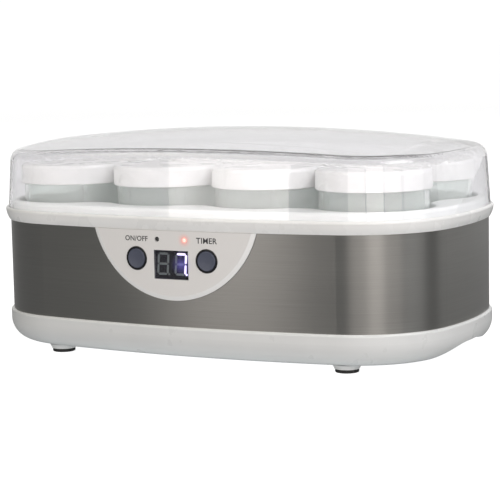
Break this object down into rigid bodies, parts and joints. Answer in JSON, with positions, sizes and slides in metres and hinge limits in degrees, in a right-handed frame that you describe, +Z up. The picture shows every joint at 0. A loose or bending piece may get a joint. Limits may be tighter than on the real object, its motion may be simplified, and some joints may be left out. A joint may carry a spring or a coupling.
{
  "type": "yogurt maker",
  "caption": "Electric yogurt maker with glass jars standing in a heated tray under a clear lid, a brushed steel body and a front control panel with display and buttons.",
  "frame": {"origin": "centre of the bounding box on the surface that the rubber feet stand on", "axes": "+Z up, front with the control panel faces -Y, +X along the body to the right as seen from the front"},
  "size_m": [0.315, 0.188, 0.1398],
  "materials": {
    "white_plastic": "satin moulded",
    "rim_plastic": "satin moulded",
    "tray_plastic": "satin moulded",
    "housing_plastic": "moulded",
    "cap_plastic": "smooth moulded",
    "steel": "horizontal brushing",
    "lid_clear": "clear, faintly tinted",
    "jar_glass": "clear with a green edge",
    "panel_plastic": "satin",
    "bezel_black": "polished",
    "button_grey": "satin",
    "window_clear": "polished",
    "module_black": "matte",
    "digit_on": "lit",
    "digit_off": "unlit",
    "led_dark": "unlit",
    "led_red": "lit",
    "board_green": "solder mask",
    "component_black": "moulded",
    "transformer_iron": "laminated core",
    "capacitor_sleeve": "shrink sleeve",
    "terminal_green": "moulded",
    "plate_aluminium": "rolled",
    "heater_sleeve": "silicone",
    "fuse_body": "glazed",
    "rubber_black": "matte",
    "screw_steel": "zinc plated"
  },
  "bodies": {
    "base": {"base_screws": "screw_steel", "base_shell": "white_plastic", "board_screws": "screw_steel", "button_bezel_power": "bezel_black", "button_bezel_timer": "bezel_black", "capacitor": "capacitor_sleeve", "control_board": "board_green", "control_panel": "panel_plastic", "cord_gland": "rubber_black", "digit_lit": "digit_on", "digit_unlit": "digit_off", "display_module": "module_black", "display_window": "window_clear", "heating_element": "heater_sleeve", "heating_plate": "plate_aluminium", "inner_housing": "housing_plastic", "jar_tray": "tray_plastic", "led_power": "led_dark", "led_timer": "led_red", "mains_terminal": "terminal_green", "plate_screws": "screw_steel", "power_board": "board_green", "relay": "component_black", "rim_ring": "rim_plastic", "rubber_foot_1": "rubber_black", "rubber_foot_2": "rubber_black", "rubber_foot_3": "rubber_black", "rubber_foot_4": "rubber_black", "steel_band": "steel", "tact_switches": "component_black", "temperature_sensor": "fuse_body", "thermal_fuse": "fuse_body", "transformer": "transformer_iron"},
    "lid": {"lid": "lid_clear"},
    "button_power": {"button_power": "button_grey"},
    "button_timer": {"button_timer": "button_grey"},
    "jar_1": {"jar_1": "jar_glass"},
    "cap_1": {"cap_1": "cap_plastic"},
    "jar_2": {"jar_2": "jar_glass"},
    "cap_2": {"cap_2": "cap_plastic"},
    "jar_3": {"jar_3": "jar_glass"},
    "cap_3": {"cap_3": "cap_plastic"},
    "jar_4": {"jar_4": "jar_glass"},
    "cap_4": {"cap_4": "cap_plastic"},
    "jar_5": {"jar_5": "jar_glass"},
    "cap_5": {"cap_5": "cap_plastic"},
    "jar_6": {"jar_6": "jar_glass"},
    "cap_6": {"cap_6": "cap_plastic"},
    "jar_7": {"jar_7": "jar_glass"},
    "cap_7": {"cap_7": "cap_plastic"},
    "jar_8": {"jar_8": "jar_glass"},
    "cap_8": {"cap_8": "cap_plastic"}
  },
  "joints": [
    {"name": "lid_lift", "type": "slide", "parent": "base", "child": "lid", "axis": [0, 0, 1], "range_m": [0, 0.24]},
    {"name": "jar_1_lift", "type": "slide", "parent": "base", "child": "jar_1", "axis": [0, 0, 1], "range_m": [0, 0.1]},
    {"name": "cap_1_lift", "type": "slide", "parent": "jar_1", "child": "cap_1", "axis": [0, 0, 1], "range_m": [0, 0.062]},
    {"name": "jar_2_lift", "type": "slide", "parent": "base", "child": "jar_2", "axis": [0, 0, 1], "range_m": [0, 0.1]},
    {"name": "cap_2_lift", "type": "slide", "parent": "jar_2", "child": "cap_2", "axis": [0, 0, 1], "range_m": [0, 0.062]},
    {"name": "jar_3_lift", "type": "slide", "parent": "base", "child": "jar_3", "axis": [0, 0, 1], "range_m": [0, 0.1]},
    {"name": "cap_3_lift", "type": "slide", "parent": "jar_3", "child": "cap_3", "axis": [0, 0, 1], "range_m": [0, 0.062]},
    {"name": "jar_4_lift", "type": "slide", "parent": "base", "child": "jar_4", "axis": [0, 0, 1], "range_m": [0, 0.1]},
    {"name": "cap_4_lift", "type": "slide", "parent": "jar_4", "child": "cap_4", "axis": [0, 0, 1], "range_m": [0, 0.062]},
    {"name": "jar_5_lift", "type": "slide", "parent": "base", "child": "jar_5", "axis": [0, 0, 1], "range_m": [0, 0.1]},
    {"name": "cap_5_lift", "type": "slide", "parent": "jar_5", "child": "cap_5", "axis": [0, 0, 1], "range_m": [0, 0.062]},
    {"name": "jar_6_lift", "type": "slide", "parent": "base", "child": "jar_6", "axis": [0, 0, 1], "range_m": [0, 0.1]},
    {"name": "cap_6_lift", "type": "slide", "parent": "jar_6", "child": "cap_6", "axis": [0, 0, 1], "range_m": [0, 0.062]},
    {"name": "jar_7_lift", "type": "slide", "parent": "base", "child": "jar_7", "axis": [0, 0, 1], "range_m": [0, 0.1]},
    {"name": "cap_7_lift", "type": "slide", "parent": "jar_7", "child": "cap_7", "axis": [0, 0, 1], "range_m": [0, 0.062]},
    {"name": "jar_8_lift", "type": "slide", "parent": "base", "child": "jar_8", "axis": [0, 0, 1], "range_m": [0, 0.1]},
    {"name": "cap_8_lift", "type": "slide", "parent": "jar_8", "child": "cap_8", "axis": [0, 0, 1], "range_m": [0, 0.062]},
    {"name": "button_power_press", "type": "slide", "parent": "base", "child": "button_power", "axis": [0.04, 0.9992, 0], "range_m": [0, 0.0008], "stiffness_N_per_m": 900, "springref_m": -0.0006},
    {"name": "button_timer_press", "type": "slide", "parent": "base", "child": "button_timer", "axis": [-0.0309, 0.9995, 0], "range_m": [0, 0.0008], "stiffness_N_per_m": 900, "springref_m": -0.0006}
  ],
  "couplings": [
    {"joint": "jar_1_lift", "follows": "lid_lift", "ratio": 0.4},
    {"joint": "cap_1_lift", "follows": "lid_lift", "ratio": 0.25},
    {"joint": "jar_2_lift", "follows": "lid_lift", "ratio": 0.4},
    {"joint": "cap_2_lift", "follows": "lid_lift", "ratio": 0.25},
    {"joint": "jar_3_lift", "follows": "lid_lift", "ratio": 0.4},
    {"joint": "cap_3_lift", "follows": "lid_lift", "ratio": 0.25},
    {"joint": "jar_4_lift", "follows": "lid_lift", "ratio": 0.4},
    {"joint": "cap_4_lift", "follows": "lid_lift", "ratio": 0.25},
    {"joint": "jar_5_lift", "follows": "lid_lift", "ratio": 0.4},
    {"joint": "cap_5_lift", "follows": "lid_lift", "ratio": 0.25},
    {"joint": "jar_6_lift", "follows": "lid_lift", "ratio": 0.4},
    {"joint": "cap_6_lift", "follows": "lid_lift", "ratio": 0.25},
    {"joint": "jar_7_lift", "follows": "lid_lift", "ratio": 0.4},
    {"joint": "cap_7_lift", "follows": "lid_lift", "ratio": 0.25},
    {"joint": "jar_8_lift", "follows": "lid_lift", "ratio": 0.4},
    {"joint": "cap_8_lift", "follows": "lid_lift", "ratio": 0.25}
  ]
}
